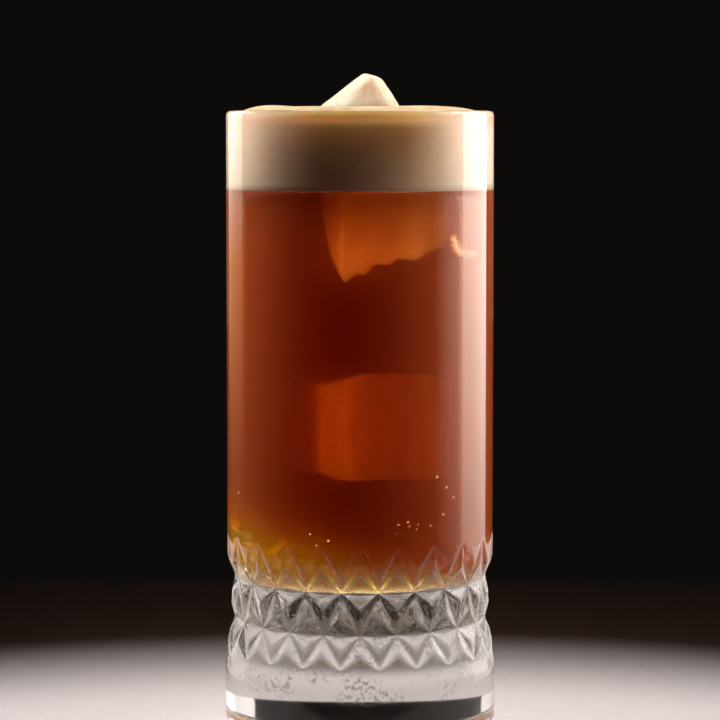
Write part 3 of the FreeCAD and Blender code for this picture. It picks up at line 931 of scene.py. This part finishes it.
def strip_light(name, side, angle_degrees, width, glow, dark_below, power, mirrored=True,
                fade=0.0, foot_tint="#FFFFFF"):
    """A tall strip box beside the glass that fades towards its foot, and towards the front."""
    edge = Vector((side * 29 * MM, -15 * MM, STRIP_HEIGHT / 2))
    angle = math.radians(angle_degrees)
    middle = edge + STRIP_DISTANCE * Vector((side * math.sin(angle), -math.cos(angle), 0))
    light = soft_box(name, middle, edge, width, STRIP_HEIGHT, 1.0, "#FFF8F0", served)
    lamp = light.data
    lamp.use_nodes = True
    place = add(lamp, "ShaderNodeNewGeometry", {}).outputs["Position"]
    split = add(lamp, "ShaderNodeSeparateXYZ", {"Vector": place})
    rise = add(lamp, "ShaderNodeMapRange", {
        "Value": split.outputs["Z"], "From Min": dark_below, "From Max": STRIP_HEIGHT})
    fade_low = add(lamp, "ShaderNodeMath", {0: rise.outputs["Result"], 1: power},
                   operation="POWER")
    fade_front = add(lamp, "ShaderNodeMapRange", {
        "Value": split.outputs["Y"], "From Min": middle.y - fade / 2,
        "From Max": middle.y + fade / 2 + 0.1 * MM, "To Min": 0.0 if fade else 1.0})
    faded = add(lamp, "ShaderNodeMath", {
        0: fade_low.outputs[0], 1: fade_front.outputs["Result"]}, operation="MULTIPLY")
    strength = add(lamp, "ShaderNodeMath", {0: faded.outputs[0], 1: glow}, operation="MULTIPLY")
    reach = STRIP_HEIGHT - dark_below
    tint = add(lamp, "ShaderNodeValToRGB", {"Fac": rise.outputs["Result"]},
               stops=((max(0.0, (TINTED_BELOW - dark_below) / reach), linear(foot_tint)),
                      ((WHITE_ABOVE - dark_below) / reach, linear("#FFFFFF"))))
    emission = lamp.node_tree.nodes["Emission"]
    lamp.node_tree.links.new(tint.outputs["Color"], emission.inputs["Color"])
    lamp.node_tree.links.new(strength.outputs[0], emission.inputs["Strength"])
    light.visible_glossy = mirrored
    light.visible_transmission = mirrored


strip_light("strip_left", LEFT, 138, width=94 * MM, glow=5.2, dark_below=30 * MM, power=1.5,
            foot_tint="#FFC890")
strip_light("strip_left_fill", LEFT, 138, width=76 * MM, glow=17.5, dark_below=-60 * MM,
            power=1.9, mirrored=False)
strip_light("strip_left_high", LEFT, 112, width=60 * MM, glow=15.0, dark_below=112 * MM,
            power=1.0, mirrored=False)
strip_light("strip_right", RIGHT, 118, width=118 * MM, glow=9.5, dark_below=-25 * MM, power=1.0)
strip_light("strip_right_skirt", RIGHT, 80, width=90 * MM, glow=3.6, dark_below=-25 * MM,
            power=1.0, fade=90 * MM)
soft_box("top_soft_box", (0.01, 0.09, 0.36), (0, 0, 0.15), width=220 * MM, height=140 * MM,
         glow=7.0, tint="#FFF4E4", lights_only=served)
soft_box("back_card", (0, 75 * MM, 84 * MM), (0, 0, 84 * MM), width=64 * MM, height=68 * MM,
         glow=1.5, tint="#FFE8D0")

CARD_HEIGHT = 32 * MM
for name, x, y, width in (("foot_card_left", -86, 49, 80), ("foot_card_right", 80, 58, 104)):
    soft_box(name, (x * MM, y * MM, CARD_HEIGHT / 2), (0, 0, CARD_HEIGHT / 2), width=width * MM,
             height=CARD_HEIGHT, glow=1.1, tint="#FFF4F0", lights_only=glass_only)
soft_box("back_panel", (0, 0.25, 0.20), (0, 0, 0.20), width=400 * MM, height=240 * MM,
         glow=0.08, tint="#FFC4B0", lights_only=glass_only)

snooted_light("table_light", (0, -0.75, 0.267), (0, 5 * MM, 0), spread_degrees=3.4, power=106.0,
              tint="#FFFAF8", lights_only=table_only, edge=0.35, stretch=6.0)
snooted_light("ice_light", (-0.32, -0.48, 0.20), (0.004, -0.01, 0.085), spread_degrees=9.5,
              power=52.0, tint="#FFF4E4", lights_only=ice_pieces)
snooted_light("tip_light", (-0.05, -0.30, 0.52), (0.002, 0, 0.153), spread_degrees=5.5,
              power=3.6, tint="#FFF4EA", lights_only=ice_pieces)

world = bpy.data.worlds.new("dark_studio")
world.use_nodes = True
world.node_tree.nodes["Background"].inputs["Color"].default_value = linear("#0E0C0B")
world.node_tree.nodes["Background"].inputs["Strength"].default_value = 1.0
bpy.context.scene.world = world

# ---------------------------------------------------------------------------------------------
# The camera
# A long lens at the height of the foam, just below the rim, that looks down a little. Light may
# turn often enough to get through wall, drink and ice.
# ---------------------------------------------------------------------------------------------

EYE_HEIGHT = 143 * MM
EYE_DISTANCE = 700 * MM
AIM_HEIGHT = 88.4 * MM
camera_data = bpy.data.cameras.new("camera")
camera_data.lens = 143.75
camera_data.sensor_width = 36
camera_data.clip_start = 10 * MM
scene = bpy.context.scene
scene.camera = aimed("camera", camera_data, (0, -EYE_DISTANCE, EYE_HEIGHT), (0, 0, AIM_HEIGHT))
scene.view_settings.view_transform = "Standard"
scene.cycles.max_bounces = 20
scene.cycles.transmission_bounces = 20
scene.cycles.transparent_max_bounces = 24
scene.cycles.volume_bounces = 3
